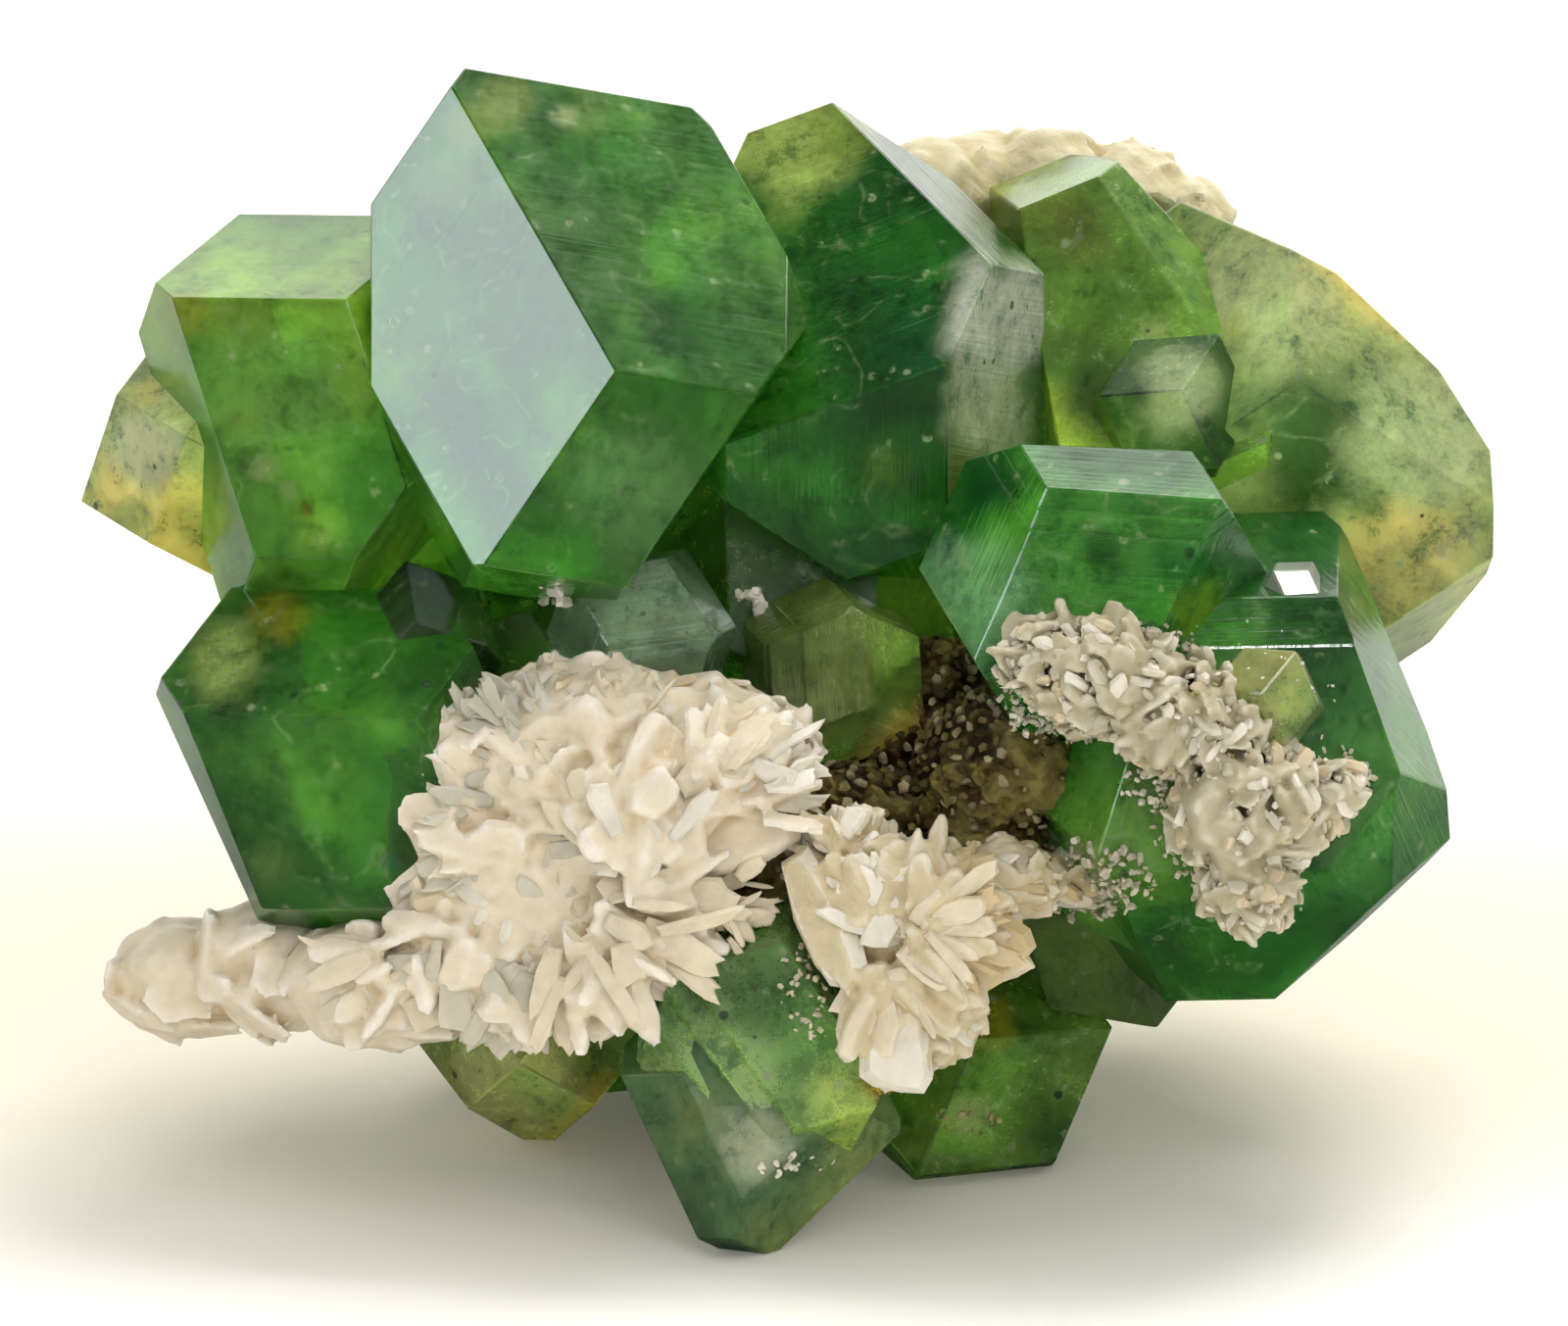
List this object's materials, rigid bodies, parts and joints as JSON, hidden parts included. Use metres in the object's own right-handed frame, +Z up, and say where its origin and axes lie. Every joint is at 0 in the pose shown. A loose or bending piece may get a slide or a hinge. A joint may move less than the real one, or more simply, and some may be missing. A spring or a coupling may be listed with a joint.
{
  "type": "andradite specimen",
  "caption": "Cluster of intergrown green garnet crystals with flat faces, patches of white bladed mineral and brown rock in a cavity.",
  "frame": {"origin": "middle of the base: the point on the resting surface below the centre of the specimen's box", "axes": "+X to the right along the widest extent, +Y away from the front, +Z up as the specimen rests"},
  "size_m": [0.0241, 0.0195, 0.0192],
  "materials": {
    "green_garnet": "clear to cloudy green garnet, glassy flat faces with fine growth lines",
    "white_stilbite": "cream to white, pearly bladed crystals",
    "brown_rock": "granular olive-brown rock, matt"
  },
  "bodies": {
    "root": {"andradite_crystals": "green_garnet", "stilbite_front": "white_stilbite", "stilbite_centre": "white_stilbite", "stilbite_right": "white_stilbite", "stilbite_back": "white_stilbite", "matrix": "brown_rock"}
  },
  "joints": []
}
